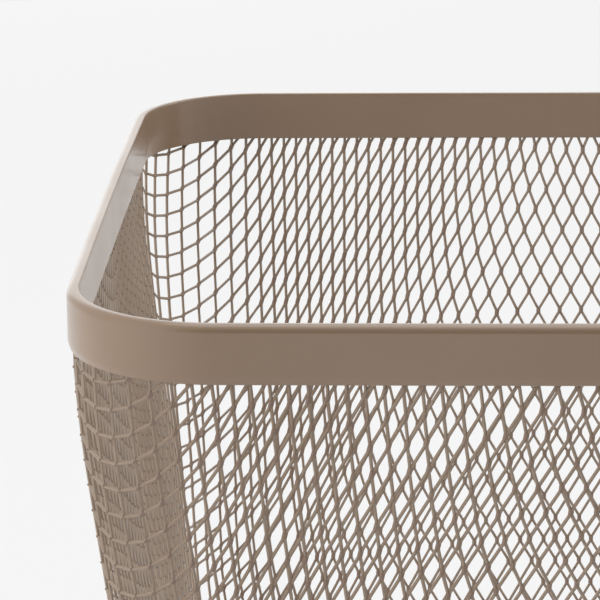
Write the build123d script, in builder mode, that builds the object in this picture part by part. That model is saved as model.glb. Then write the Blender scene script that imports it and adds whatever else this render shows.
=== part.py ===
from build123d import *
import os
from math import atan2, cos, degrees, radians, sin, tan

os.makedirs("parts", exist_ok=True)

# Overall size of the basket. X runs along the front, -Y is the front, the origin is under the middle
basket_width = 250.0
basket_depth = 250.0
basket_height = 180.0

# Rim: one strip of sheet steel, folded to a channel that opens downwards over the mesh's edge
rim_height = 13.0
rim_sheet = 0.75
rim_corner_radius = 34.5
rim_outer_fold_radius = 1.1
rim_inner_fold_radius = 0.3
rim_lip_radius = 0.5

# Mesh tub: one sheet of expanded steel, drawn over a block and held inside the rim's channel
mesh_thickness = 1.3
wall_lean = 19.0
foot_corner_radius = 27.0
heel_radius = 24.0

# Cells of the mesh sheet: diamonds, their long way up the front and back and level on the sides
cell_short_way = 8.5
cell_long_way = 17.0
strand_width = 1.6
bond_length = 3.0

# Cells that the draw has squared up round the four corners
corner_cell_height = 10.4
corner_cell_turn = 21.0
corner_cell_columns = 4

# Spot welds that hold the mesh's edge between the rim's two flanges
weld_radius = 1.6
weld_pitch = 52.0
welds_per_side = 3

# Cuts run this far past what they cut
overrun = 5.0

# Sizes that follow from the ones above
rim_foot = basket_height - rim_height
rim_thickness = rim_sheet + mesh_thickness + rim_sheet
brow_width = basket_width - 2 * rim_sheet
brow_depth = basket_depth - 2 * rim_sheet
brow_radius = rim_corner_radius - rim_sheet
foot_width = brow_width - 2 * wall_lean
foot_depth = brow_depth - 2 * wall_lean
wall_tilt = degrees(atan2(wall_lean, rim_foot))
panel_width = foot_width - 2 * foot_corner_radius
panel_depth = foot_depth - 2 * foot_corner_radius
slope_height = (rim_foot - heel_radius) / cos(radians(wall_tilt))
bend_turn = 90 - wall_tilt
bend_setback = heel_radius * tan(radians(bend_turn / 2))
bend_chord = 2 * heel_radius * sin(radians(bend_turn / 2))


def keep(piece, name):
    """Labels a finished piece and writes it as the STEP file of that name."""
    piece.part.label = name
    export_step(piece.part, f"parts/{name}.step")


# Rim channel
with BuildPart() as rim_channel:
    with BuildSketch(Plane.XY.offset(rim_foot)):
        RectangleRounded(basket_width, basket_depth, rim_corner_radius)
        RectangleRounded(
            basket_width - 2 * rim_thickness,
            basket_depth - 2 * rim_thickness,
            rim_corner_radius - rim_thickness,
            mode=Mode.SUBTRACT,
        )
    extrude(amount=rim_height)
    top_edges = rim_channel.faces().sort_by(Axis.Z)[-1]
    fillet(top_edges.outer_wire().edges(), radius=rim_outer_fold_radius)
    top_edges = rim_channel.faces().sort_by(Axis.Z)[-1]
    fillet(top_edges.inner_wires()[0].edges(), radius=rim_inner_fold_radius)
    with BuildSketch(Plane.XY.offset(rim_foot)):
        RectangleRounded(brow_width, brow_depth, brow_radius)
        RectangleRounded(
            brow_width - 2 * mesh_thickness,
            brow_depth - 2 * mesh_thickness,
            brow_radius - mesh_thickness,
            mode=Mode.SUBTRACT,
        )
    extrude(amount=rim_height - rim_sheet, mode=Mode.SUBTRACT)
    flange_feet = rim_channel.faces().sort_by(Axis.Z)[:2].sort_by(SortBy.AREA)
    fillet(flange_feet[-1].outer_wire().edges(), radius=rim_lip_radius)
keep(rim_channel, "rim_channel")


def tub_block(inset, floor, bend_radius):
    """The tub's outer form as one solid, all its faces moved inwards by inset, with a lip up inside the rim."""
    with BuildPart() as block:
        with BuildSketch(Plane.XY.offset(floor)):
            RectangleRounded(foot_width - 2 * inset, foot_depth - 2 * inset, foot_corner_radius - inset)
        with BuildSketch(Plane.XY.offset(rim_foot)):
            RectangleRounded(brow_width - 2 * inset, brow_depth - 2 * inset, brow_radius - inset)
        loft(ruled=True)
        fillet(block.edges().group_by(Axis.Z)[0], radius=bend_radius)
        with BuildSketch(Plane.XY.offset(rim_foot)):
            RectangleRounded(brow_width - 2 * inset, brow_depth - 2 * inset, brow_radius - inset)
        extrude(amount=rim_height - rim_sheet)
    return block.part


# The whole drawn sheet, before it is divided into its walls, corners, heels and base
with BuildPart() as drawn_sheet:
    add(tub_block(0, 0, heel_radius))
    add(tub_block(mesh_thickness, mesh_thickness, heel_radius - mesh_thickness), mode=Mode.SUBTRACT)


def cell_places(room_across, room_up, turned):
    """Centres of the openings: staggered rows, as many as the room holds inside a border of one strand."""
    pitch_across = cell_long_way if turned else cell_short_way
    pitch_up = (cell_short_way if turned else cell_long_way) / 2
    across = int((room_across - 2 * strand_width) / pitch_across)
    rows = int((room_up - 2 * strand_width) / pitch_up) - 1
    places = []
    for row in range(rows):
        count = across - row % 2
        for column in range(count):
            places.append(((column - (count - 1) / 2) * pitch_across, (row - (rows - 1) / 2) * pitch_up))
    return places


def cell_points():
    """One opening: a sharp tip at each end of its long way, and short flats beside the bonds at its sides."""
    side = cell_short_way / 2 - strand_width
    tip = (cell_long_way - bond_length) / 2
    flat = bond_length / 2
    return [(side, -flat), (side, flat), (0, tip), (-side, flat), (-side, -flat), (0, -tip)]


def weld_places(outer_half):
    """The weld centres on the side that faces -Y: along it, halfway through the sheet, halfway up the lip."""
    height = rim_foot + (rim_height - rim_sheet) / 2
    steps = [step - (welds_per_side - 1) / 2 for step in range(welds_per_side)]
    return [(step * weld_pitch, mesh_thickness / 2 - outer_half, height) for step in steps]


def wall(span, outer_half, turned):
    """A wall that faces -Y: a flat net below the rim, and above it the lip with its holes for the welds."""
    middle = (heel_radius + rim_foot) / 2
    lean = wall_lean * (rim_foot - middle) / rim_foot
    outwards = (0, -cos(radians(wall_tilt)), -sin(radians(wall_tilt)))
    with BuildPart() as piece:
        with Locations((0, -outer_half, rim_foot)):
            Box(span, mesh_thickness, rim_height - rim_sheet, align=(Align.CENTER, Align.MIN, Align.MIN))
        with Locations(*weld_places(outer_half)):
            Cylinder(weld_radius, overrun, rotation=(90, 0, 0), mode=Mode.SUBTRACT)
        with BuildSketch(Plane(origin=(0, lean - outer_half, middle), x_dir=(1, 0, 0), z_dir=outwards)):
            Rectangle(span, slope_height)
            with Locations(*cell_places(span, slope_height, turned)):
                Polygon(*cell_points(), rotation=90 if turned else 0, align=None, mode=Mode.SUBTRACT)
        extrude(amount=mesh_thickness, dir=(0, 1, 0))
    return piece.part


# Front and back walls, the cells' long way upright
with BuildPart() as front_wall_mesh:
    add(wall(panel_width, brow_depth / 2, turned=False))
keep(front_wall_mesh, "front_wall_mesh")

with BuildPart() as back_wall_mesh:
    mirror(front_wall_mesh.part, about=Plane.XZ)
keep(back_wall_mesh, "back_wall_mesh")

# Side walls, the cells' long way level
with BuildPart() as left_wall_mesh:
    add(wall(panel_depth, brow_width / 2, turned=True), rotation=(0, 0, -90))
keep(left_wall_mesh, "left_wall_mesh")

with BuildPart() as right_wall_mesh:
    mirror(left_wall_mesh.part, about=Plane.YZ)
keep(right_wall_mesh, "right_wall_mesh")

# Base, a flat net whose cells run on from the front and back walls
with BuildPart() as base_mesh:
    with BuildSketch(Plane.XY):
        Rectangle(panel_width, panel_depth)
        with Locations(*cell_places(panel_width, panel_depth, turned=False)):
            Polygon(*cell_points(), align=None, mode=Mode.SUBTRACT)
    extrude(amount=mesh_thickness)
keep(base_mesh, "base_mesh")

# Front and back heels, the bends between wall and base, their openings cut along the bend's bisector
front_bend = Plane(
    origin=(0, bend_setback - foot_depth / 2, heel_radius),
    x_dir=(1, 0, 0),
    z_dir=(0, -sin(radians(bend_turn / 2)), -cos(radians(bend_turn / 2))),
)
with BuildPart() as front_heel_mesh:
    add(drawn_sheet.part)
    with Locations((0, -panel_depth / 2, 0)):
        Box(panel_width, basket_depth, heel_radius, align=(Align.CENTER, Align.MAX, Align.MIN), mode=Mode.INTERSECT)
    with BuildSketch(front_bend):
        with Locations(*cell_places(panel_width, bend_chord, turned=False)):
            Polygon(*cell_points(), align=None)
    extrude(amount=heel_radius + overrun, mode=Mode.SUBTRACT)
keep(front_heel_mesh, "front_heel_mesh")

with BuildPart() as back_heel_mesh:
    mirror(front_heel_mesh.part, about=Plane.XZ)
keep(back_heel_mesh, "back_heel_mesh")

# Side heels
left_bend = Plane(
    origin=(bend_setback - foot_width / 2, 0, heel_radius),
    x_dir=(0, -1, 0),
    z_dir=(-sin(radians(bend_turn / 2)), 0, -cos(radians(bend_turn / 2))),
)
with BuildPart() as left_heel_mesh:
    add(drawn_sheet.part)
    with Locations((-panel_width / 2, 0, 0)):
        Box(basket_width, panel_depth, heel_radius, align=(Align.MAX, Align.CENTER, Align.MIN), mode=Mode.INTERSECT)
    with BuildSketch(left_bend):
        with Locations(*cell_places(panel_depth, bend_chord, turned=True)):
            Polygon(*cell_points(), rotation=90, align=None)
    extrude(amount=heel_radius + overrun, mode=Mode.SUBTRACT)
keep(left_heel_mesh, "left_heel_mesh")

with BuildPart() as right_heel_mesh:
    mirror(left_heel_mesh.part, about=Plane.YZ)
keep(right_heel_mesh, "right_heel_mesh")


def corner_cells():
    """Where the front left corner's openings start, each turned to face straight out from the bend's axis."""
    rows = int((rim_foot - heel_radius - 2 * strand_width) / corner_cell_height)
    cells = []
    for row in range(rows):
        height = (heel_radius + rim_foot) / 2 + (row - (rows - 1) / 2) * corner_cell_height
        share = height / rim_foot
        radius = foot_corner_radius + (brow_radius - foot_corner_radius) * share
        axis_x = radius - (foot_width / 2 + wall_lean * share)
        axis_y = radius - (foot_depth / 2 + wall_lean * share)
        for column in range(corner_cell_columns):
            turn = 225 + (column - (corner_cell_columns - 1) / 2) * corner_cell_turn
            start_x = axis_x + radius / 2 * cos(radians(turn))
            start_y = axis_y + radius / 2 * sin(radians(turn))
            cells.append(Location((start_x, start_y, height), (0, 0, turn)))
    return cells


# Corners: drawn round from wall to wall, with squared cells
corner_cell_width = foot_corner_radius * radians(corner_cell_turn) - strand_width
with BuildPart() as front_left_corner_mesh:
    add(drawn_sheet.part)
    with Locations((-panel_width / 2, -panel_depth / 2, heel_radius)):
        Box(basket_width, basket_depth, basket_height, align=(Align.MAX, Align.MAX, Align.MIN), mode=Mode.INTERSECT)
    with Locations(*corner_cells()):
        Box(brow_radius, corner_cell_width, corner_cell_height - strand_width,
            align=(Align.MIN, Align.CENTER, Align.CENTER), mode=Mode.SUBTRACT)
keep(front_left_corner_mesh, "front_left_corner_mesh")

def foot_cells():
    """Cutters for the front left foot's openings, in rows down its bend. The row nearest the base stays plain."""
    rows = int(heel_radius * radians(bend_turn) / corner_cell_height)
    inner_radius = heel_radius - mesh_thickness
    cell_height = inner_radius * radians(bend_turn) / rows - strand_width
    axis_x = foot_corner_radius - foot_width / 2
    axis_y = foot_corner_radius - foot_depth / 2
    ring = foot_corner_radius - bend_setback
    with BuildPart() as cutters:
        for row in range(rows - 1):
            drop = wall_tilt + (row + 0.5) * bend_turn / rows
            reach = ring + inner_radius * cos(radians(drop))
            columns = int(reach * radians(90) / corner_cell_height)
            cell_width = reach * radians(90) / columns - strand_width
            for column in range(columns):
                turn = 180 + (column + 0.5) * 90 / columns
                outwards = Location((axis_x, axis_y, heel_radius), (0, 0, turn))
                downwards = Location((ring, 0, 0), (0, drop, 0))
                with Locations(outwards * downwards * Location((heel_radius / 2, 0, 0))):
                    Box(heel_radius, cell_width, cell_height, align=(Align.MIN, Align.CENTER, Align.CENTER))
    return cutters.part


# Heel corners: the rounded feet under the corners
with BuildPart() as front_left_heel_corner_mesh:
    add(drawn_sheet.part)
    with Locations((-panel_width / 2, -panel_depth / 2, 0)):
        Box(basket_width, basket_depth, heel_radius, align=(Align.MAX, Align.MAX, Align.MIN), mode=Mode.INTERSECT)
    add(foot_cells(), mode=Mode.SUBTRACT)
keep(front_left_heel_corner_mesh, "front_left_heel_corner_mesh")

# The other three corners mirror the front left one
for place, mirrors in {
    "front_right": [Plane.YZ],
    "back_left": [Plane.XZ],
    "back_right": [Plane.YZ, Plane.XZ],
}.items():
    corner = front_left_corner_mesh.part
    heel_corner = front_left_heel_corner_mesh.part
    for mirror_plane in mirrors:
        corner = corner.mirror(mirror_plane)
        heel_corner = heel_corner.mirror(mirror_plane)
    with BuildPart() as corner_mesh:
        add(corner)
    keep(corner_mesh, f"{place}_corner_mesh")
    with BuildPart() as heel_corner_mesh:
        add(heel_corner)
    keep(heel_corner_mesh, f"{place}_heel_corner_mesh")

# Spot welds between the rim's flanges, through the mesh's lip
with BuildPart() as rim_spot_welds:
    with Locations(*weld_places(brow_depth / 2)):
        Cylinder(weld_radius, mesh_thickness, rotation=(90, 0, 0))
    mirror(about=Plane.XZ)
    with Locations(*[(across, along, height) for along, across, height in weld_places(brow_width / 2)]):
        Cylinder(weld_radius, mesh_thickness, rotation=(0, 90, 0))
    mirror(about=Plane.YZ)
keep(rim_spot_welds, "rim_spot_welds")
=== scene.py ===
"""Looks for a square shelf basket: a drawn tub of expanded steel under a folded steel rim.

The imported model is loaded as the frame. Every piece below is measured in millimetres in that frame,
with the basket standing on z = 0 and its centre on the z axis, and is scaled to metres when its
mesh is made.
"""

from __future__ import annotations

import logging
import math
from dataclasses import dataclass, field
from enum import Enum

import bpy
import numpy as np
from mathutils import Matrix, Vector

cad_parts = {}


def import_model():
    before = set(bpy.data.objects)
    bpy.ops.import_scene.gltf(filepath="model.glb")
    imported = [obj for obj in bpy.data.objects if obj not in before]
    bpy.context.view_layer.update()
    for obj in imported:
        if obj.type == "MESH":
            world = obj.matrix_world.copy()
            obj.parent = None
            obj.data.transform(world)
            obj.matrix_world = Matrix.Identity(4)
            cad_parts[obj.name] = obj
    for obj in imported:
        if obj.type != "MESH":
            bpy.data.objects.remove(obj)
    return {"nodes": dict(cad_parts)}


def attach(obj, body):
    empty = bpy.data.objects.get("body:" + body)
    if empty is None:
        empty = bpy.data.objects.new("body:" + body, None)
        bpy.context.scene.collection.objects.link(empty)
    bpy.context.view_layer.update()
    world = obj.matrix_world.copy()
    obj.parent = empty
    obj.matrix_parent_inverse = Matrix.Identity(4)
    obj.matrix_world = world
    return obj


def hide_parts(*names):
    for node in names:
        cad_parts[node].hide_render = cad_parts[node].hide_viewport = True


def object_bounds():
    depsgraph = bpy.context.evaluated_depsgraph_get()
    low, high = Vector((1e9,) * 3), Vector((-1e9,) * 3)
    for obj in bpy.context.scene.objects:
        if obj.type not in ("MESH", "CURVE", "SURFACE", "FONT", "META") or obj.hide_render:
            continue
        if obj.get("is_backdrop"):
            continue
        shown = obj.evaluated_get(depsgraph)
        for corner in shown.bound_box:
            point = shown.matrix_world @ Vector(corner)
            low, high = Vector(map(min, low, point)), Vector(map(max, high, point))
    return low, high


MM = 0.001
TINY = 1e-9
VECTOR_MATH = "ShaderNodeVectorMath"
WHITE = (1.0, 1.0, 1.0, 1.0)
LOG = logging.getLogger("basket")


# ---- Node helpers ----


def set_input(tree: bpy.types.NodeTree, socket: bpy.types.NodeSocket, value: object) -> None:
    """Give a socket its value: a link where the value is a socket, else a plain default.

    Args:
        tree: The tree that the socket is in.
        socket: The input socket.
        value: A Field, a socket, a number, a tuple or a data-block.
    """
    if isinstance(value, Field):
        value = value.socket
    if isinstance(value, bpy.types.NodeSocket):
        tree.links.new(value, socket)
    elif value is not None:
        socket.default_value = value


class Field:
    """One output socket, with the arithmetic that a shader or geometry expression needs."""

    def __init__(self, graph: Graph, socket: bpy.types.NodeSocket) -> None:
        """Wrap an output socket of a graph."""
        self.graph = graph
        self.socket = socket

    def _math(self, operation: str, first: object, second: object = None) -> Field:
        """Add one Math node for scalars or one Vector Math node for vectors.

        Args:
            operation: The node's operation.
            first: The left value.
            second: The right value, or None.

        Returns:
            The result as a Field.
        """
        is_vector = [
            isinstance(v, Field) and v.socket.type in ("VECTOR", "RGBA") for v in (first, second)
        ]
        if operation == "MULTIPLY" and is_vector[0] != is_vector[1]:
            vector, scale = (first, second) if is_vector[0] else (second, first)
            inputs = {0: vector, "Scale": scale}
            return self.graph.add(VECTOR_MATH, {"operation": "SCALE"}, inputs)
        kind = VECTOR_MATH if any(is_vector) else "ShaderNodeMath"
        return self.graph.add(kind, {"operation": operation}, {0: first, 1: second})

    def __add__(self, other: object) -> Field:
        """Sum of this field and another value."""
        return self._math("ADD", self, other)

    def __radd__(self, other: object) -> Field:
        """Sum of a plain value and this field."""
        return self._math("ADD", other, self)

    def __sub__(self, other: object) -> Field:
        """This field less another value."""
        return self._math("SUBTRACT", self, other)

    def __rsub__(self, other: object) -> Field:
        """A plain value less this field."""
        return self._math("SUBTRACT", other, self)

    def __mul__(self, other: object) -> Field:
        """Product of this field and another value."""
        return self._math("MULTIPLY", self, other)

    def __rmul__(self, other: object) -> Field:
        """Product of a plain value and this field."""
        return self._math("MULTIPLY", other, self)

    def through(self, operation: str) -> Field:
        """This field through a Math node that takes one value."""
        return self._math(operation, self)

    def dot(self, other: object) -> Field:
        """Scalar product of this vector and another one."""
        settings = {"operation": "DOT_PRODUCT"}
        return self.graph.add(VECTOR_MATH, settings, {0: self, 1: other}, "Value")

    def length(self) -> Field:
        """Length of this vector."""
        return self.graph.add(VECTOR_MATH, {"operation": "LENGTH"}, {0: self}, "Value")

    def between(self, low: float, high: float) -> Field:
        """Smooth ramp from 0 at the low value to 1 at the high one."""
        inputs = {"Value": self, "From Min": low, "From Max": high}
        return self.graph.add("ShaderNodeMapRange", {"interpolation_type": "SMOOTHSTEP"}, inputs)


class Graph:
    """A node tree under construction, for a material or for geometry."""

    def __init__(self, tree: bpy.types.NodeTree) -> None:
        """Start on a tree, emptied of its nodes."""
        self.tree = tree
        self.tree.nodes.clear()

    def node(
        self, kind: str, settings: dict | None = None, inputs: dict | None = None
    ) -> bpy.types.Node:
        """Add a node: its settings first, then its sockets.

        Args:
            kind: The node's type name.
            settings: Properties of the node, set before its sockets.
            inputs: Values or links by the socket's name or place.

        Returns:
            The new node.
        """
        made = self.tree.nodes.new(kind)
        for name, value in (settings or {}).items():
            setattr(made, name, value)
        for key, value in (inputs or {}).items():
            if isinstance(key, int):
                socket = made.inputs[key]
            else:
                socket = next(s for s in made.inputs if s.name == key and s.enabled)
            set_input(self.tree, socket, value)
        return made

    def add(
        self, kind: str, settings: dict | None = None, inputs: dict | None = None, output: str = ""
    ) -> Field:
        """Add a node and wrap the output of that name, or else its first enabled one."""
        made = self.node(kind, settings, inputs)
        return Field(self, next(s for s in made.outputs if s.enabled and output in ("", s.name)))

    def mix(self, factor: object, first: object, second: object) -> Field:
        """Mix two colours.

        Args:
            factor: 0 for the first colour, 1 for the second.
            first: The first colour.
            second: The second colour.

        Returns:
            The mixed colour.
        """
        made = self.node("ShaderNodeMix", {"data_type": "RGBA"})
        ends = [s for s in made.inputs if s.type == "RGBA"]
        for socket, value in ((made.inputs[0], factor), (ends[0], first), (ends[1], second)):
            set_input(self.tree, socket, value)
        return Field(self, next(s for s in made.outputs if s.type == "RGBA"))

    def backdrop_rays(self, gloss: float) -> Field:
        """Mask of the rays that see the backdrop: 1 for camera and transmission rays.

        Args:
            gloss: The mask on glossy rays.

        Returns:
            The mask as a Field.
        """
        rays = self.node("ShaderNodeLightPath").outputs
        camera, glossy = Field(self, rays["Is Camera Ray"]), Field(self, rays["Is Glossy Ray"])
        return camera + glossy * gloss + Field(self, rays["Is Transmission Ray"])


def new_material(name: str) -> tuple[bpy.types.Material, Graph]:
    """Make an empty node material.

    Args:
        name: Its name.

    Returns:
        The material and the graph of its nodes.
    """
    made = bpy.data.materials.new(name)
    made.use_nodes = True
    return made, Graph(made.node_tree)


def add_object(name: str, data: bpy.types.ID) -> bpy.types.Object:
    """Make an object and put it in the scene.

    Args:
        name: Its name.
        data: Its mesh, light or camera.

    Returns:
        The object.
    """
    made = bpy.data.objects.new(name, data)
    bpy.context.scene.collection.objects.link(made)
    return made


# ---- Finishes ----

Colour = tuple[float, float, float]


def paint(red: int, green: int, blue: int) -> Colour:
    """Turn a paint shade in 0-255 screen values into the linear colour that a shader takes."""
    shades = (v / 255 for v in (red, green, blue))
    return tuple(v / 12.92 if v <= 0.04045 else ((v + 0.055) / 1.055) ** 2.4 for v in shades)


@dataclass(frozen=True)
class PowderCoat:
    """Baked powder coat: satin, with fine orange peel and a little uneven build."""

    name: str
    shade: Colour
    thin_shade: Colour
    roughness: float
    gloss: float
    peel_pitch: float
    # Colour of the painted shade where strands meet at the bonds; None for no painted shade
    bond_painted_shade: Colour | None = None
    peel_detail: float = 2.5
    peel_depth: float = 0.012
    peel_strength: float = 0.5
    build_pitch: float = 38.0
    build_detail: float = 2.0
    build_range: tuple[float, float] = (0.34, 0.66)
    build_share: float = 0.55
    build_dull: float = 0.07
    speck_pitch: float = 0.9
    speck_detail: float = 1.0
    speck_range: tuple[float, float] = (0.6, 0.74)
    speck_share: float = 0.12
    # How strongly the bonds are darkened by painted shade, and how much the uneven build adds to it
    painted_shade_share: float = 0.35
    painted_shade_build: float = 0.4
    bond_dull: float = 0.06
    gloss_roughness: float = 0.17
    ior: float = 1.5

    def material(self) -> bpy.types.Material:
        """Build the coat's node material.

        Returns:
            The material.
        """
        made, g = new_material(self.name)
        place = g.add("ShaderNodeTexCoord", output="Object")

        def noise(pitch: float, detail: float) -> Field:
            """Noise with one lump every pitch millimetres."""
            inputs = {"Vector": place, "Scale": 1 / (pitch * MM), "Detail": detail}
            return g.add("ShaderNodeTexNoise", {"noise_dimensions": "3D"}, inputs, "Fac")

        build = noise(self.build_pitch, self.build_detail).between(*self.build_range)
        speck = noise(self.speck_pitch, self.speck_detail).between(*self.speck_range)
        thin = (*self.thin_shade, 1.0)
        colour = g.mix(self.build_share * build, (*self.shade, 1.0), thin)
        colour = g.mix(self.speck_share * speck, colour, thin)
        rough = self.roughness + self.build_dull * build
        # Painted shade: the coat is darkened at the bonds, where strands meet and shade falls between
        # them; the bonds are also a little rougher
        if self.bond_painted_shade:
            bond = g.add("ShaderNodeAttribute", {"attribute_name": "bond"}, output="Fac")
            shade_at_bonds = bond * (self.painted_shade_share + self.painted_shade_build * build)
            colour = g.mix(shade_at_bonds, colour, (*self.bond_painted_shade, 1.0))
            rough = rough + self.bond_dull * bond
        peel = noise(self.peel_pitch, self.peel_detail)
        inputs = {"Strength": self.peel_strength, "Distance": self.peel_depth * MM, "Height": peel}
        bump = g.add("ShaderNodeBump", None, inputs)
        inputs = {"Base Color": colour, "Roughness": rough, "Normal": bump, "IOR": self.ior}
        inputs |= {"Coat Weight": self.gloss, "Coat Roughness": self.gloss_roughness}
        inputs |= {"Coat IOR": self.ior, "Metallic": 0.0}
        shader = g.add("ShaderNodeBsdfPrincipled", None, inputs)
        g.node("ShaderNodeOutputMaterial", None, {"Surface": shader})
        return made


@dataclass(frozen=True)
class WeldSteel:
    """Finish of the spot welds hidden inside the rim: steel, blued in patches by heat."""

    name: str = "weld_steel_finish"
    steel: Colour = paint(150, 148, 146)
    blued: Colour = paint(92, 94, 108)
    grain: float = 900.0
    grain_detail: float = 3.0
    heat_range: tuple[float, float] = (0.35, 0.65)
    roughness: float = 0.3
    heat_dull: float = 0.2

    def material(self) -> bpy.types.Material:
        """Build the steel's node material.

        Returns:
            The material.
        """
        made, g = new_material(self.name)
        place = g.add("ShaderNodeTexCoord", output="Object")
        inputs = {"Vector": place, "Scale": self.grain, "Detail": self.grain_detail}
        heat = g.add("ShaderNodeTexNoise", None, inputs, "Fac").between(*self.heat_range)
        colour = g.mix(heat, (*self.steel, 1.0), (*self.blued, 1.0))
        rough = self.roughness + self.heat_dull * heat
        inputs = {"Base Color": colour, "Roughness": rough, "Metallic": 1.0}
        shader = g.add("ShaderNodeBsdfPrincipled", None, inputs)
        g.node("ShaderNodeOutputMaterial", None, {"Surface": shader})
        return made


# ---- The drawn tub's form ----

Bonds = dict[tuple[int, int], tuple[float, float, float]]


def smooth_step(value: np.ndarray) -> np.ndarray:
    """Ease values, clipped to 0..1, so that both ends are level."""
    t = np.clip(value, 0, 1)
    return t * t * (3 - 2 * t)


def logistic(value: np.ndarray) -> np.ndarray:
    """Logistic curve from 0 to 1, 0.5 at 0."""
    return 1 / (1 + np.exp(-value))


def unit(vectors: np.ndarray) -> np.ndarray:
    """Rows of vectors, each made one unit long."""
    return vectors / np.maximum(np.linalg.norm(vectors, axis=1), TINY)[:, None]


@dataclass
class TubForm:
    """Mid-surface of the mesh tub: a square with round corners that leans in towards a square base.

    A point is given by its place along the rim's quarter, from the middle of the front (0) past the
    corner to the middle of the left side, and its height along the sheet from the base's edge line.
    """

    base_half: float = 78.25
    rim_half: float = 90.5
    rim_foot: float = 167.0
    brow: float = 123.6
    shoulder: float = 27.0
    lean: float = 19.0
    lean_height: float = 153.5
    heel: float = 23.35
    tuck: float = 11.0
    spare: float = 2.0
    arcs: int = 24
    rows: int = 60

    def __post_init__(self) -> None:
        """Work out the section's polyline and its length along the sheet."""
        self.slope = self.lean / self.lean_height
        self.turn = math.pi / 2 - math.atan(self.slope)
        centre = float(self.wall_half(np.array(0.0))) - self.heel * math.tan(self.turn / 2)
        bend = np.linspace(0, self.turn, self.arcs)
        out = [self.base_half, *(centre + self.heel * np.sin(bend))]
        up = [0.0, *(self.heel - self.heel * np.cos(bend))]
        heights = np.linspace(up[-1], self.rim_foot, self.rows)[1:]
        self.section_out = np.array([*out, *self.wall_half(heights), self.brow])
        self.section_up = np.array([*up, *heights, self.rim_foot + self.tuck + self.spare])
        steps = np.hypot(np.diff(self.section_out), np.diff(self.section_up))
        self.section_run = np.r_[0, np.cumsum(steps)]
        self.rim_run = float(np.interp(self.rim_foot, self.section_up, self.section_run))
        self.top_run = self.rim_run + self.tuck
        self.corner_run = (self.brow - self.rim_half) * math.pi / 2
        self.quarter_run = 2 * self.rim_half + self.corner_run

    def wall_half(self, up: np.ndarray) -> np.ndarray:
        """Half width of the tub at a height on the straight wall and its shoulder under the rim.

        Args:
            up: Heights above the base.

        Returns:
            Half widths.
        """
        down = np.clip(self.rim_foot - up, 0, None)
        near = self.slope * down**2 / (2 * self.shoulder)
        far = self.slope * (down - self.shoulder / 2)
        return self.brow - np.where(down < self.shoulder, near, far)

    def flat_half(self, up: np.ndarray) -> np.ndarray:
        """Half width of a wall's flat part at each height."""
        wider = self.rim_half - self.base_half
        return self.base_half + wider * np.clip(up, 0, self.rim_foot) / self.rim_foot

    def bend(self, along: np.ndarray) -> np.ndarray:
        """Angle turned round the corner, 0 on the front and a right angle on the left side."""
        return np.clip((along - self.rim_half) / self.corner_run, 0, 1) * math.pi / 2

    def place(self, along: np.ndarray, run: np.ndarray) -> np.ndarray:
        """Points on the front left quarter of the sheet.

        Args:
            along: Places along the rim's quarter.
            run: Heights along the sheet.

        Returns:
            Points, one a row.
        """
        half = np.interp(run, self.section_run, self.section_out)
        up = np.interp(run, self.section_run, self.section_up)
        flat = self.flat_half(up)
        radius, turn = half - flat, self.bend(along)
        front = along * flat / self.rim_half
        x = np.where(along <= self.rim_half, front, flat + radius * np.sin(turn))
        left = (self.quarter_run - along) * flat / self.rim_half
        y = np.where(along >= self.rim_half + self.corner_run, left, flat + radius * np.cos(turn))
        return np.stack([-x, -y, up], -1)


class StretchedPanel:
    """Diamond net of one stretched wall panel, in closed form.

    Both strand families follow the same curve, mirrored, so a strand of number u crosses one of
    number v at x = F(u) - F(v) and height G(u) + G(v). The curve comes from the strand's lean and
    length at each number. A search for a crossing starts from a guessed spread of the numbers per
    millimetre.
    """

    SPREAD = 0.1
    TRIES = 40
    LONGEST_MOVE = 3

    def __init__(
        self, numbers: np.ndarray, lean: np.ndarray, length: np.ndarray, anchor: float
    ) -> None:
        """Sum the curve.

        Args:
            numbers: Evenly spaced strand numbers.
            lean: The strand's angle from upright at each number, in radians.
            length: Length of a strand between two bonds at each number.
            anchor: Height where u and v are both 0.
        """
        step = numbers[1] - numbers[0]
        self.numbers, self.anchor = numbers, anchor
        self.across = self._sum(length * np.sin(lean), step)
        self.up = self._sum(length * np.cos(lean), step)
        self.across_slope = np.gradient(self.across, step)
        self.up_slope = np.gradient(self.up, step)

    @staticmethod
    def _sum(slope: np.ndarray, step: float) -> np.ndarray:
        """Running integral by the trapezium rule."""
        return np.r_[0, np.cumsum((slope[1:] + slope[:-1]) / 2 * step)]

    def numbers_at(self, across: np.ndarray, run: np.ndarray) -> tuple[np.ndarray, np.ndarray]:
        """Find the strand numbers that cross at a point, by Newton's method.

        Args:
            across: Distance from the panel's middle line.
            run: Height along the sheet.

        Returns:
            The rising and the falling strand's numbers.
        """
        spread = self.SPREAD * np.abs(across)
        rising = np.interp(run, 2 * self.up + self.anchor, self.numbers) + spread
        falling = rising - 2 * spread
        for _ in range(self.TRIES):
            gap_x = self._at(self.across, rising) - self._at(self.across, falling) - across
            gap_y = self._at(self.up, rising) + self._at(self.up, falling) + self.anchor - run
            a, b = self._at(self.across_slope, rising), -self._at(self.across_slope, falling)
            c, d = self._at(self.up_slope, rising), self._at(self.up_slope, falling)
            scale = a * d - b * c
            move_r, move_f = (gap_x * d - b * gap_y) / scale, (a * gap_y - c * gap_x) / scale
            damp = np.minimum(1, self.LONGEST_MOVE / np.maximum(TINY, np.hypot(move_r, move_f)))
            rising, falling = rising - damp * move_r, falling - damp * move_f
        return rising, falling

    def middle_line(self, run: np.ndarray) -> tuple[np.ndarray, np.ndarray]:
        """Strand numbers on the middle line at those heights, and their slopes per millimetre."""
        number = np.interp(run, 2 * self.up + self.anchor, self.numbers)
        return number, -0.5 / self._at(self.across_slope, number)

    def _at(self, table: np.ndarray, number: np.ndarray) -> np.ndarray:
        """Read a table at strand numbers."""
        return np.interp(number, self.numbers, table)


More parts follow.
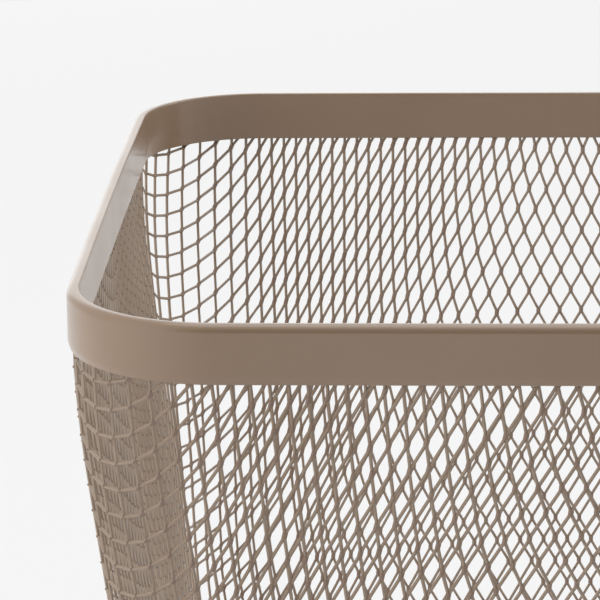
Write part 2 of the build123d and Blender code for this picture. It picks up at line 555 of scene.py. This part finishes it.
@dataclass
class SlitPattern:
    """The expanded sheet's diamonds after drawing: strand numbers over one quarter of the tub."""

    form: TubForm
    short_way: float = 6.7
    long_way: float = 12.9
    strand: float = 6.0
    rim_lean: float = 1.0
    rim_lean_turn: float = 2.3
    side_lean: float = 4.0
    side_strand: float = 6.2
    side_low: float = 17.0
    side_high: float = 40.0
    corner_open: float = 2.8
    corner_open_low: float = 3.0
    corner_level: float = 2.0
    corner_fade: float = 165.0
    meet_foot: float = 4.0
    meet_reach: float = 50.0
    front_reach: float = 45.0
    lean_turn_at: float = 2.0
    low_turn_at: float = -6.0
    low_turn: float = 1.6
    side_first: float = -30.0
    side_last: float = 70.0
    side_ease: float = 0.85
    side_turn_at: float = 21.0
    side_turn: float = 2.0
    samples: int = 4000
    columns: int = 235
    rows: int = 200
    margin: float = 1e-4

    def __post_init__(self) -> None:
        """Sum the front panel's and the side panel's curves, and meet the base's even diamonds."""
        form = self.form
        grow = form.rim_half / form.base_half
        low_lean, low_strand = self._diamond(self.short_way * grow, self.long_way)
        n = np.linspace(-self.front_reach, self.front_reach, self.samples)
        turned = logistic((self.lean_turn_at - n) / self.rim_lean_turn)
        lean = np.radians(self.rim_lean + (low_lean - self.rim_lean) * turned)
        low = logistic((self.low_turn_at - n) / self.low_turn)
        length = self.strand + (low_strand - self.strand) * low
        # Strands are numbered from the base's middle, as if the panel ran on down to it
        front = StretchedPanel(n, lean, length, 0.0)
        middle = np.interp(0, n, front.up)
        base = -np.interp(-form.base_half, 2 * (front.up - middle) + form.rim_run, n)
        self.front = StretchedPanel(n + base, lean, length, form.rim_run - 2 * middle)
        low_lean, low_strand = self._diamond(self.long_way * grow, self.short_way)
        n = np.linspace(self.side_first, self.side_last, self.samples)
        share = np.clip((n - self.side_low) / (self.side_high - self.side_low), 0, 1)
        lean = np.radians(low_lean + (self.side_lean - low_lean) * share**self.side_ease)
        low = logistic((self.side_turn_at - n) / self.side_turn)
        length = self.side_strand + (low_strand - self.side_strand) * low
        side = StretchedPanel(n, lean, length, 0.0)
        self.side = StretchedPanel(n, lean, length, -form.base_half - 2 * np.interp(0, n, side.up))

    @staticmethod
    def _diamond(wide: float, tall: float) -> tuple[float, float]:
        """Lean in degrees and strand length of a diamond of that width and height."""
        return math.degrees(math.atan2(wide, tall)), math.hypot(wide, tall) / 2

    def _front(self, along: np.ndarray, run: np.ndarray) -> tuple[np.ndarray, np.ndarray]:
        """Upright and cross strand numbers on the front panel."""
        rising, falling = self.front.numbers_at(along, run)
        return falling, rising

    def numbers_over(self, along: np.ndarray, run: np.ndarray) -> tuple[np.ndarray, np.ndarray]:
        """Strand numbers anywhere on the quarter.

        The front panel keeps its own curves. A cubic in each strand family carries them round the
        corner to the middle of the side, where both families mirror. A hump added to it opens the
        corner's cells, and the lowest part of the wall blends into the base's even diamonds.

        Args:
            along: Places along the rim's quarter.
            run: Heights along the sheet.

        Returns:
            The upright and the cross family's numbers.
        """
        form = self.form
        start, reach = form.rim_half, form.quarter_run - form.rim_half
        upright, cross = np.zeros_like(along), np.zeros_like(along)
        on_front = along <= start
        upright[on_front], cross[on_front] = self._front(along[on_front], run[on_front])
        high, t = run[~on_front], (along[~on_front] - start) / reach
        middle, slope_out = self.side.middle_line(high)
        first_pair = self._front(np.full_like(high, start), high)
        # One millimetre back, for the slope that the cubic starts with
        before_pair = self._front(np.full_like(high, start - 1), high)
        joined = []
        hump = 16 * t**2 * (1 - t) ** 2
        clear = smooth_step(high / self.corner_fade)
        opening = self.corner_open + self.corner_open_low * (1 - high / form.rim_run)
        shares = (clear * opening, -clear * self.corner_level)
        for first, before, last, share in zip(first_pair, before_pair, (-middle, middle), shares):
            joined.append(
                (2 * t**3 - 3 * t**2 + 1) * first
                + (t**3 - 2 * t**2 + t) * (first - before) * reach
                + (3 * t**2 - 2 * t**3) * last
                + (t**3 - t**2) * slope_out * reach
                + share * hump
            )
        upright[~on_front], cross[~on_front] = joined
        on_side = along >= start + form.corner_run
        turn, half = form.bend(along), form.base_half
        front = along * half / form.rim_half
        short = np.where(on_front, front, half + run * np.sin(turn)) / self.short_way
        side = (form.quarter_run - along) * half / form.rim_half
        long = np.where(on_side, side, half + run * np.cos(turn)) / self.long_way
        wall = smooth_step((run - self.meet_foot) / self.meet_reach)
        base = 1 - wall
        return (long - short) * base + upright * wall, (long + short) * base + cross * wall

    def bonds(self) -> Bonds:
        """Place a quarter's bonds: where an upright and a cross strand of whole numbers meet.

        Returns:
            Points by their two strand numbers.
        """
        form = self.form
        found = {}
        for i in range(int(2 * form.base_half / self.short_way) + 2):
            for j in range(int(2 * form.base_half / self.long_way) + 2):
                x, y = i * self.short_way / 2, j * self.long_way / 2
                if (i + j) % 2 == 0 and x < form.base_half and y < form.base_half:
                    found[((j - i) // 2, (j + i) // 2)] = (-x, -y, 0.0)
        places = np.linspace(0, form.quarter_run, self.columns)
        runs = np.linspace(0, form.top_run, self.rows)
        upright, cross = self.numbers_over(*np.meshgrid(places, runs, indexing="ij"))
        for column, sign in ((0, 1), (-1, -1)):
            middle = cross[column]
            for l in range(math.ceil(middle.min()), math.floor(middle.max()) + 1):
                high = np.interp(l, middle, runs)
                found.setdefault((sign * l, l), tuple(form.place(places[column], high)))
        for k in range(math.floor(upright.min()), math.ceil(upright.max()) + 1):
            line = []
            for j, run in enumerate(runs):
                row = upright[::-1, j]
                if row.min() <= k <= row.max():
                    along = np.interp(k, row, places[::-1])
                    line.append((np.interp(along, places, cross[:, j]), run, along))
            if len(line) < 2:
                continue
            number, run, along = np.array(line).T
            first, last = number.min() - self.margin, number.max() + self.margin
            for l in range(math.ceil(first), math.floor(last) + 1):
                if (k, l) not in found:
                    high = np.interp(l, number, run)
                    found[(k, l)] = tuple(form.place(np.interp(high, run, along), high))
        return found


# ---- The tub's net ----


class Zone(Enum):
    """The parts of the tub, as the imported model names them."""

    WALL = "wall_mesh"
    HEEL = "heel_mesh"
    CORNER = "corner_mesh"
    HEEL_CORNER = "heel_corner_mesh"
    BASE = "base_mesh"


@dataclass
class MeshTub:
    """Expanded steel tub: strands between bonds, set by rule along the drawn sheet.

    A bond is where four strands meet. It is shorter where the draw has squared up the cells.
    """

    form: TubForm = field(default_factory=TubForm)
    front_slits: SlitPattern = field(default_factory=lambda: SlitPattern(TubForm()))
    back_slits: SlitPattern = field(
        default_factory=lambda: SlitPattern(TubForm(), strand=6.3, rim_lean=-3.5)
    )
    strand_width: float = 0.7
    strand_thick: float = 0.64
    bond_width: float = 1.1
    bond_length: float = 1.7
    bond_thick: float = 0.8
    bond_reach: float = 0.3
    face_turn: float = 42.0
    seat: float = 0.8
    seat_fade: float = 30.0
    section_chamfer: float = 0.13
    strand_taper: tuple[float, float] = (1.16, 1.0)
    bond_taper: tuple[float, float] = (0.62, 1.0)
    bar_points: int = 4
    plump: tuple[float, float] = (0.93, 1.07)
    square_cell: float = 0.6
    cell_range: float = 0.9
    square_bond: float = 0.35
    flat_floor: float = 1e-3
    shortest: float = 1e-6
    spot_digits: int = 2
    seed: int = 7

    def build(self, coat: bpy.types.Material) -> list[tuple[bpy.types.Object, str]]:
        """Make one piece for each part of the tub.

        Args:
            coat: The net's finish.

        Returns:
            Each piece with the node that it stands for.
        """
        points, along, facing, sheet_out, edges = self._net()
        tree = self._tree(coat)
        owner = self._owners(points)
        edge_owner = self._owners((points[edges[:, 0]] + points[edges[:, 1]]) / 2)
        pieces = []
        for node in sorted(set(owner) | set(edge_owner)):
            mine = edges[edge_owner == node]
            used = np.unique(np.r_[mine.ravel(), np.flatnonzero(owner == node)])
            order = np.full(len(points), -1)
            order[used] = np.arange(len(used))
            mesh = bpy.data.meshes.new(node + "_lines")
            mesh.from_pydata((points[used] * MM).tolist(), order[mine].tolist(), [])
            for name, values in (("along", along), ("across", facing), ("outward", sheet_out)):
                layer = mesh.attributes.new(name, "FLOAT_VECTOR", "POINT")
                layer.data.foreach_set("vector", values[used].astype(np.float32).ravel())
            layer = mesh.attributes.new("own_bond", "BOOLEAN", "POINT")
            layer.data.foreach_set("value", (owner[used] == node))
            pieces.append((self._grow(mesh, tree, node.replace("_mesh", "_net")), node))
        return pieces

    def _net(self) -> tuple[np.ndarray, ...]:
        """Mirror the quarter to the whole tub and work out each bond's directions.

        Returns:
            Bond points, long way, short way and outward directions, and strands as pairs of bonds.
        """
        quarters = {1.0: self.front_slits.bonds(), -1.0: self.back_slits.bonds()}
        index, names, edges = {}, {}, set()
        points, along, facing = [], [], []
        for sx, sy in ((1.0, 1.0), (1.0, -1.0), (-1.0, 1.0), (-1.0, -1.0)):
            quarter, flip = quarters[sy], np.array([sx, sy, 1.0])
            for key, point in quarter.items():
                # Bonds on a line where two quarters meet are one bond
                spot = tuple(round(float(c), self.spot_digits) + 0.0 for c in flip * point)
                if spot not in index:
                    index[spot] = len(points)
                    points.append(flip * point)
                    along.append(flip * self._step(quarter, key, (1, 1)))
                    facing.append(flip * self._step(quarter, key, (1, -1)) * sx)
                names[(key, sx, sy)] = index[spot]
            for k, l in quarter:
                for other in ((k, l + 1), (k + 1, l)):
                    if other in quarter:
                        pair = (names[((k, l), sx, sy)], names[(other, sx, sy)])
                        edges.add((min(pair), max(pair)))
        points, along, facing = (np.array(v, float) for v in (points, along, facing))
        outward = self._outward(points)
        along[np.linalg.norm(along, axis=1) < self.shortest] = (0.0, 1.0, 0.0)
        length = np.linalg.norm(along, axis=1)
        stretch = length / np.maximum(np.linalg.norm(facing, axis=1), self.shortest)
        share = np.clip((stretch - self.square_cell) / self.cell_range, self.square_bond, 1)
        along *= (share / length)[:, None]
        across = unit(np.cross(along, outward))
        across *= np.where((across * facing).sum(1) < 0, -1.0, 1.0)[:, None]
        strands = np.array(sorted(e for e in edges if e[0] != e[1]))
        points[:, 2] += self.seat * (1 - smooth_step(points[:, 2] / self.seat_fade))
        return points, along, across, outward, strands

    @staticmethod
    def _step(quarter: Bonds, key: tuple[int, int], move: tuple[int, int]) -> np.ndarray:
        """Vector from the bond on one side of a bond to the bond on its other side.

        Args:
            quarter: Bonds of a quarter by their strand numbers.
            key: The bond.
            move: Change of the two strand numbers.

        Returns:
            The vector.
        """
        there = quarter.get((key[0] + move[0], key[1] + move[1]), quarter[key])
        back = quarter.get((key[0] - move[0], key[1] - move[1]), quarter[key])
        return np.subtract(there, back)

    def _outward(self, points: np.ndarray) -> np.ndarray:
        """Outward direction of the sheet at each point.

        Args:
            points: Points of the net.

        Returns:
            Unit vectors.
        """
        form, up = self.form, points[:, 2]
        past = np.abs(points[:, :2]) - form.flat_half(up)[:, None]
        level = unit(np.sign(points[:, :2]) * np.clip(past, 0, None))
        bend = np.arccos(np.clip(1 - up / form.heel, -1, 1))
        tip = np.where(up < self.flat_floor, 0.0, np.minimum(bend, form.turn))
        return unit(np.concatenate([level * np.sin(tip)[:, None], -np.cos(tip)[:, None]], axis=1))

    def _owners(self, points: np.ndarray) -> np.ndarray:
        """Name the part of the tub that each point is in.

        Args:
            points: Points of the net.

        Returns:
            Node names.
        """
        form, (x, y, up) = self.form, points.T
        flat = form.flat_half(up) + self.flat_floor
        wide, deep = np.abs(x) > flat, np.abs(y) > flat
        low = up < form.heel - form.heel * math.cos(form.turn)
        front, left = np.where(y < 0, "front_", "back_"), np.where(x < 0, "left_", "right_")
        wall = np.where(low, Zone.HEEL.value, Zone.WALL.value)
        corner = np.where(low, Zone.HEEL_CORNER.value, Zone.CORNER.value)
        wall = np.char.add(np.where(deep, front, left), wall)
        corner = np.char.add(np.char.add(front, left), corner)
        return np.where(~wide & ~deep, Zone.BASE.value, np.where(wide & deep, corner, wall))

    def _tree(self, coat: bpy.types.Material) -> bpy.types.NodeTree:
        """Build the tree that turns lines between bonds into strands and bonds of steel.

        Args:
            coat: The net's finish.

        Returns:
            The geometry node tree.
        """
        tree = bpy.data.node_groups.new("expanded_steel", "GeometryNodeTree")
        g = Graph(tree)
        face = tree.interface
        face.new_socket("Net", in_out="INPUT", socket_type="NodeSocketGeometry")
        sizes = {
            "Strand Width": self.strand_width,
            "Strand Thickness": self.strand_thick,
            "Bond Width": self.bond_width,
            "Bond Length": self.bond_length,
            "Bond Thickness": self.bond_thick,
            "Bond Reach": self.bond_reach,
            "Chamfer": self.section_chamfer,
        }
        values = [(name, "Float", value * MM) for name, value in sizes.items()]
        values += [("Face Turn", "Float", self.face_turn), ("Seed", "Int", self.seed)]
        for name, kind, value in values:
            socket = face.new_socket(name, in_out="INPUT", socket_type=f"NodeSocket{kind}")
            socket.default_value = value
        face.new_socket("Steel", in_out="OUTPUT", socket_type="NodeSocketGeometry")
        given = g.node("NodeGroupInput")

        def size(name: str) -> Field:
            """One of the tree's named inputs."""
            return Field(g, given.outputs[name])

        def stored(name: str, kind: str = "FLOAT_VECTOR") -> Field:
            """A named attribute of the net."""
            return g.add("GeometryNodeInputNamedAttribute", {"data_type": kind}, {"Name": name})

        ends = g.node("GeometryNodeInputMeshEdgeVertices")
        first, second = (Field(g, ends.outputs[f"Position {n}"]) for n in (1, 2))
        run = second - first
        long = stored("along")
        tips = []
        for number, point, sign in ((1, first, 1.0), (2, second, -1.0)):
            inputs = {"Value": long, "Index": Field(g, ends.outputs[f"Vertex Index {number}"])}
            settings = {"domain": "POINT", "data_type": "FLOAT_VECTOR"}
            way = g.add("GeometryNodeFieldAtIndex", settings, inputs)
            tips.append(point + way * (way.dot(run).through("SIGN") * (size("Bond Reach") * sign)))
        middle, span = (tips[0] + tips[1]) * 0.5, tips[1] - tips[0]
        net = Field(g, given.outputs["Net"])
        for name, value in (("strand_run", span), ("strand_middle", middle)):
            inputs = {"Geometry": net, "Name": name, "Value": value}
            settings = {"data_type": "FLOAT_VECTOR", "domain": "EDGE"}
            net = g.add("GeometryNodeStoreNamedAttribute", settings, inputs)
        turn = size("Face Turn").through("RADIANS")
        cosine, sine = turn.through("COSINE"), turn.through("SINE")
        leaning = stored("outward") * cosine + stored("across") * sine
        inputs = {"Min": self.plump[0], "Max": self.plump[1], "Seed": size("Seed")}
        plump = g.add("FunctionNodeRandomValue", {"data_type": "FLOAT"}, inputs)
        joined = g.node("GeometryNodeJoinGeometry")
        at_strand = {"Position": stored("strand_middle")}
        at_bond = {"Selection": stored("own_bond", "BOOLEAN")}
        for name, mode, picked, way, reach, taper in (
            ("Strand", "EDGES", at_strand, stored("strand_run"), 1.0, self.strand_taper),
            ("Bond", "VERTICES", at_bond, long, size("Bond Length"), self.bond_taper),
        ):
            points = g.add("GeometryNodeMeshToPoints", {"mode": mode}, {"Mesh": net, **picked})
            axes = {"primary_axis": "X", "secondary_axis": "Z"}
            rotation = g.add("FunctionNodeAxesToRotation", axes, {0: way, 1: leaning})
            width, thick = size(f"{name} Width"), size(f"{name} Thickness")
            bar = self._bar(g, width, thick, size("Chamfer"), taper)
            # Marks the bonds: the coat paints shade there and makes them a little rougher
            inputs = {"Geometry": bar, "Name": "bond", "Value": float(name == "Bond")}
            settings = {"data_type": "FLOAT", "domain": "POINT"}
            bar = g.add("GeometryNodeStoreNamedAttribute", settings, inputs)
            inputs = {"X": way.length() * reach, "Y": plump, "Z": 1.0}
            scale = g.add("ShaderNodeCombineXYZ", None, inputs)
            inputs = {"Points": points, "Instance": bar, "Rotation": rotation, "Scale": scale}
            placed = g.add("GeometryNodeInstanceOnPoints", None, inputs)
            for used in ("along", "across", "outward", "own_bond", "strand_run", "strand_middle"):
                inputs = {"Geometry": placed, "Name": used}
                placed = g.add("GeometryNodeRemoveAttribute", None, inputs)
            tree.links.new(placed.socket, joined.inputs[0])
        steel = g.add("GeometryNodeRealizeInstances", None, {"Geometry": joined.outputs[0]})
        steel = g.add("GeometryNodeSetMaterial", None, {"Geometry": steel, "Material": coat})
        g.node("NodeGroupOutput", None, {"Steel": steel})
        return tree

    def _bar(
        self, g: Graph, width: Field, thick: Field, chamfer: Field, taper: tuple[float, float]
    ) -> Field:
        """Add a chamfered bar one unit long on X, with its ends and its middle of different girth.

        Args:
            g: The tree's graph.
            width: Width across.
            thick: Thickness of the steel.
            chamfer: Size of the worn corner.
            taper: Girth at the ends and at the middle, as shares of the section.

        Returns:
            The bar's geometry.
        """
        inputs = {"Start": (-0.5, 0, 0), "End": (0.5, 0, 0)}
        line = g.add("GeometryNodeCurvePrimitiveLine", None, inputs)
        line = g.add("GeometryNodeResampleCurve", None, {"Curve": line, "Count": self.bar_points})
        way = g.add("GeometryNodeSplineParameter", output="Factor")
        off = (way * 2.0 - 1.0).through("ABSOLUTE")
        inputs = {"Value": off, "To Min": taper[1], "To Max": taper[0]}
        girth = g.add("ShaderNodeMapRange", None, inputs)
        line = g.add("GeometryNodeSetCurveRadius", None, {"Curve": line, "Radius": girth})
        inputs = {"Width": width, "Height": thick}
        section = g.add("GeometryNodeCurvePrimitiveQuadrilateral", None, inputs)
        inputs = {"Curve": section, "Radius": chamfer, "Count": 1}
        section = g.add("GeometryNodeFilletCurve", {"mode": "POLY"}, inputs)
        inputs = {"Curve": line, "Profile Curve": section, "Fill Caps": True}
        bar = g.add("GeometryNodeCurveToMesh", None, inputs)
        return g.add("GeometryNodeSetShadeSmooth", None, {"Geometry": bar, "Shade Smooth": False})

    @staticmethod
    def _grow(lines: bpy.types.Mesh, tree: bpy.types.NodeTree, name: str) -> bpy.types.Object:
        """Run the tree on one part's lines and keep the result as a plain mesh.

        Args:
            lines: The part's bonds and strands as points and edges.
            tree: The geometry node tree.
            name: Name of the piece.

        Returns:
            The piece.
        """
        source = add_object(name + "_source", lines)
        modifier = source.modifiers.new("expanded_steel", "NODES")
        modifier.node_group = tree
        for item in tree.interface.items_tree:
            if item.in_out == "INPUT" and item.socket_type != "NodeSocketGeometry":
                modifier[item.identifier] = item.default_value
        graph = bpy.context.evaluated_depsgraph_get()
        mesh = bpy.data.meshes.new_from_object(source.evaluated_get(graph))
        bpy.data.objects.remove(source)
        mesh.name = name
        return add_object(name, mesh)


# ---- The rim ----


@dataclass
class RimChannel:
    """Folded rim: sheet steel bent to a narrow channel that opens down over the mesh's edge."""

    half: float = 125.0
    top: float = 180.0
    height: float = 13.0
    sheet: float = 0.75
    thick: float = 2.8
    corner: float = 34.5
    outer_fold: float = 1.7
    inner_fold: float = 0.45
    slot_folds: tuple[float, float] = (0.3, 0.35)
    edge_share: float = 0.48
    curl: float = 0.35
    curl_gap: float = 0.02
    curl_inside: tuple[tuple[float, float], ...] = ((0.0, 1.6), (0.4, 0.9))
    curl_outside: tuple[tuple[float, float], ...] = ((0.45, 0.95), (0.0, 1.7), (0.0, 2.4))
    bow: float = 0.4
    arc_lead: float = 0.12
    fold_steps: int = 5
    corner_steps: int = 24
    side_steps: int = 12

    def build(self, coat: bpy.types.Material) -> bpy.types.Object:
        """Sweep the folded section round the rounded square.

        Args:
            coat: The rim's finish.

        Returns:
            The rim.
        """
        section = self._section()
        plan = self._plan()
        rows, count = len(plan), len(section)
        points = []
        for x, y, out_x, out_y in plan:
            for inward, up in section:
                points.append(((x - out_x * inward) * MM, (y - out_y * inward) * MM, up * MM))
        faces = []
        for i in range(rows):
            for j in range(count):
                a, b = i * count + j, i * count + (j + 1) % count
                c, d = (i + 1) % rows * count + (j + 1) % count, (i + 1) % rows * count + j
                faces.append((a, d, c, b))
        mesh = bpy.data.meshes.new("rim")
        mesh.from_pydata(points, [], faces)
        mesh.materials.append(coat)
        mesh.polygons.foreach_set("use_smooth", [True] * len(faces))
        return add_object("rim", mesh)

    def _arc(
        self, centre: tuple[float, float], radius: float, start: float, end: float
    ) -> list[tuple[float, float]]:
        """Points on a fold, with one more a little past each end so that the flats stay flat.

        Args:
            centre: Centre of the arc.
            radius: Its radius.
            start: First angle in degrees.
            end: Last angle in degrees.

        Returns:
            Points of the arc.
        """
        turns = np.radians(np.linspace(start, end, self.fold_steps + 1))
        arc = [(centre[0] + radius * math.cos(t), centre[1] + radius * math.sin(t)) for t in turns]
        sign = math.copysign(self.arc_lead, end - start)
        first, last = turns[0], turns[-1]
        before = (arc[0][0] + sign * math.sin(first), arc[0][1] - sign * math.cos(first))
        after = (arc[-1][0] - sign * math.sin(last), arc[-1][1] + sign * math.cos(last))
        return [before, *arc, after]

    def _section(self) -> list[tuple[float, float]]:
        """Section of the folded strip: distance inwards from the outer face, and height.

        Returns:
            A closed loop of points.
        """
        foot, t, wide, top = self.top - self.height, self.sheet, self.thick, self.top
        big, small, (inner, outer) = self.outer_fold, self.inner_fold, self.slot_folds
        edge, curl = t * self.edge_share, self.curl
        loop = []
        for x, y, radius, start, end in (
            (big, top - big, big, 180, 90),
            (wide - small, top - small, small, 90, 0),
            (wide - edge, foot + edge, edge, 0, -90),
            (wide - t + edge, foot + edge, edge, -90, -180),
            (wide - t - inner, top - t - inner, inner, 0, 90),
            (t + outer, top - t - outer, outer, 90, 180),
        ):
            loop += self._arc((x, y), radius, start, end)
        loop += [(t + curl * share, foot + up) for share, up in self.curl_inside]
        loop += self._arc((curl + edge + self.curl_gap, foot + edge), edge, 0, -180)
        loop += [(curl * share, foot + up) for share, up in self.curl_outside]
        return loop

    def _plan(self) -> list[tuple[float, float, float, float]]:
        """Outer line of the rim seen from above, with its outward direction.

        Returns:
            Rows of x, y, outward x and outward y, counter-clockwise.
        """
        flat = self.half - self.corner
        rows = []
        for quarter in range(4):
            turn = math.pi / 2 * quarter
            for i in range(self.side_steps):
                along = flat * (2 * i / self.side_steps - 1)
                out = self.half + self.bow * (1 - (along / flat) ** 2)
                rows.append((out, along, 1.0, 0.0, turn))
            for i in range(self.corner_steps):
                a = math.pi / 2 * i / self.corner_steps
                x, y = flat + self.corner * math.cos(a), flat + self.corner * math.sin(a)
                rows.append((x, y, math.cos(a), math.sin(a), turn))
        plan = []
        for x, y, out_x, out_y, turn in rows:
            c, s = math.cos(turn), math.sin(turn)
            place = (c * x - s * y, s * x + c * y)
            plan.append((*place, c * out_x - s * out_y, s * out_x + c * out_y))
        return plan


@dataclass
class SpotWelds:
    """Spot welds inside the rim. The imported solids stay, and get the finish."""

    finish: WeldSteel = WeldSteel()

    def dress(self, welds: bpy.types.Object) -> None:
        """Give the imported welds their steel."""
        welds.data.materials.clear()
        welds.data.materials.append(self.finish.material())


# ---- Studio ----


@dataclass(frozen=True)
class Lamp:
    """Square soft light, in millimetres and watts. Gloss shows it only where it is mirrored."""

    name: str
    place: tuple[float, float, float]
    side: float
    power: float
    tint: Colour = (1.0, 1.0, 1.0)
    mirrored: bool = True

    def hang(self, aim_height: float) -> None:
        """Add the light to the scene.

        Args:
            aim_height: Height of the point on the z axis that it faces.
        """
        light = bpy.data.lights.new(self.name, "AREA")
        light.shape, light.size = "SQUARE", self.side * MM
        light.energy, light.color = self.power, self.tint
        lamp = add_object(self.name, light)
        lamp.location = Vector(self.place) * MM
        aim = Vector((0, 0, aim_height * MM)) - lamp.location
        lamp.rotation_euler = aim.to_track_quat("-Z", "Y").to_euler()
        lamp.visible_camera, lamp.visible_glossy = False, self.mirrored


@dataclass
class Studio:
    """Pale floor, soft lights and the camera."""

    lens: float = 184.98
    sensor: float = 36.0
    clip: tuple[float, float] = (0.01, 50.0)
    camera_at: tuple[float, float, float] = (-53.55, -738.9, 350.12)
    pitch: float = 15.0
    yaw: float = -1.824
    roll: float = -0.454
    lamps: tuple[Lamp, ...] = (
        Lamp("left_key", (-880, -420, 400), 800, 4.5, (1.0, 0.99, 0.97), mirrored=False),
        Lamp("top_soft", (60, 160, 1100), 900, 3.4),
        Lamp("right_fill", (950, 250, 520), 700, 3.2, (0.98, 0.99, 1.0)),
        Lamp("back_strip", (-350, 1250, 420), 900, 1.6),
    )
    aim_height: float = 110.0
    backdrop: float = 0.945
    sky: float = 0.55
    gloss_share: float = 0.55
    shaded: float = 1.0
    shaded_way: tuple[float, float, float] = (0.05, -0.96, 0.28)
    shaded_edge: tuple[float, float] = (0.72, 0.94)
    floor_half: float = 6000.0
    floor_grey: float = 0.8
    floor_glow: float = 0.86

    def build(self) -> None:
        """Set the camera, the lights, the world and the floor."""
        self._camera()
        self._world()
        self._floor()
        for lamp in self.lamps:
            lamp.hang(self.aim_height)
        bpy.context.scene.view_settings.view_transform = "Standard"

    def _camera(self) -> None:
        """Place the camera that was fitted to the rim's edges."""
        pitch, yaw, roll = (math.radians(v) for v in (self.pitch, self.yaw, self.roll))
        level = Vector((math.sin(yaw), math.cos(yaw), 0.0)) * math.cos(pitch)
        forward = level - Vector((0.0, 0.0, math.sin(pitch)))
        right = Vector((math.cos(yaw), -math.sin(yaw), 0.0))
        up = right.cross(forward)
        across = right * math.cos(roll) + up * math.sin(roll)
        upward = up * math.cos(roll) - right * math.sin(roll)
        lens = bpy.data.cameras.new("photo_camera")
        lens.lens, lens.sensor_width, lens.sensor_fit = self.lens, self.sensor, "HORIZONTAL"
        lens.clip_start, lens.clip_end = self.clip
        camera = add_object("photo_camera", lens)
        turn = Matrix((across, upward, -forward)).transposed().to_4x4()
        camera.matrix_world = Matrix.Translation(Vector(self.camera_at) * MM) @ turn
        bpy.context.scene.camera = camera

    def _world(self) -> None:
        """Pale surroundings, shaded behind the camera, with the backdrop at its own level."""
        world = bpy.data.worlds.new("studio")
        bpy.context.scene.world = world
        world.use_nodes = True
        g = Graph(world.node_tree)
        seen = g.backdrop_rays(self.gloss_share)
        inputs = {"Value": seen, "To Min": self.sky, "To Max": self.backdrop}
        level = g.add("ShaderNodeMapRange", None, inputs)
        way = g.add("ShaderNodeTexCoord", output="Generated")
        level = level * (1 - self.shaded * way.dot(self.shaded_way).between(*self.shaded_edge))
        shader = g.add("ShaderNodeBackground", None, {"Color": WHITE, "Strength": level})
        g.node("ShaderNodeOutputWorld", None, {"Surface": shader})

    def _floor(self) -> None:
        """Lay a pale floor that reads as the backdrop and keeps a soft shadow."""
        made, g = new_material("pale_floor")
        glow = g.add("ShaderNodeEmission", None, {"Color": WHITE, "Strength": self.backdrop})
        matte = g.add("ShaderNodeBsdfDiffuse", None, {"Color": (*[self.floor_grey] * 3, 1.0)})
        share = g.backdrop_rays(1.0) * self.floor_glow
        surface = g.add("ShaderNodeMixShader", None, {"Fac": share, 1: matte, 2: glow})
        g.node("ShaderNodeOutputMaterial", None, {"Surface": surface})
        mesh = bpy.data.meshes.new("floor")
        reach = self.floor_half * MM
        corners = [(x * reach, y * reach, 0.0) for x, y in ((-1, -1), (1, -1), (1, 1), (-1, 1))]
        mesh.from_pydata(corners, [], [(0, 1, 2, 3)])
        mesh.materials.append(made)
        floor = add_object("floor", mesh)
        floor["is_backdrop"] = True


def main() -> tuple[Vector, Vector]:
    """Load the frame, build and dress every piece, and light it.

    Returns:
        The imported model's box.
    """
    logging.basicConfig(level=logging.INFO, format="%(message)s")
    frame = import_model()
    cad_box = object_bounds()
    coat = PowderCoat(
        "rim_powder_coat",
        shade=paint(151, 126, 103),
        thin_shade=paint(146, 121, 98),
        roughness=0.3,
        gloss=0.7,
        peel_pitch=0.7,
    )
    rim = RimChannel().build(coat.material())
    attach(rim, "root")
    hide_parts("rim_channel")
    LOG.info("rim: %d faces", len(rim.data.polygons))
    coat = PowderCoat(
        "mesh_powder_coat",
        shade=paint(162, 142, 123),
        thin_shade=paint(152, 131, 112),
        roughness=0.34,
        gloss=0.5,
        peel_pitch=0.6,
        # Painted shade at the bonds of the net
        bond_painted_shade=paint(134, 108, 93),
    )
    for piece, node in MeshTub().build(coat.material()):
        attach(piece, "root")
        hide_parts(node)
        LOG.info("%s: %d faces", piece.name, len(piece.data.polygons))
    SpotWelds().dress(frame["nodes"]["rim_spot_welds"])
    LOG.info("rim_spot_welds: dressed")
    Studio().build()
    return cad_box


if __name__ == "__main__":
    packed = main()
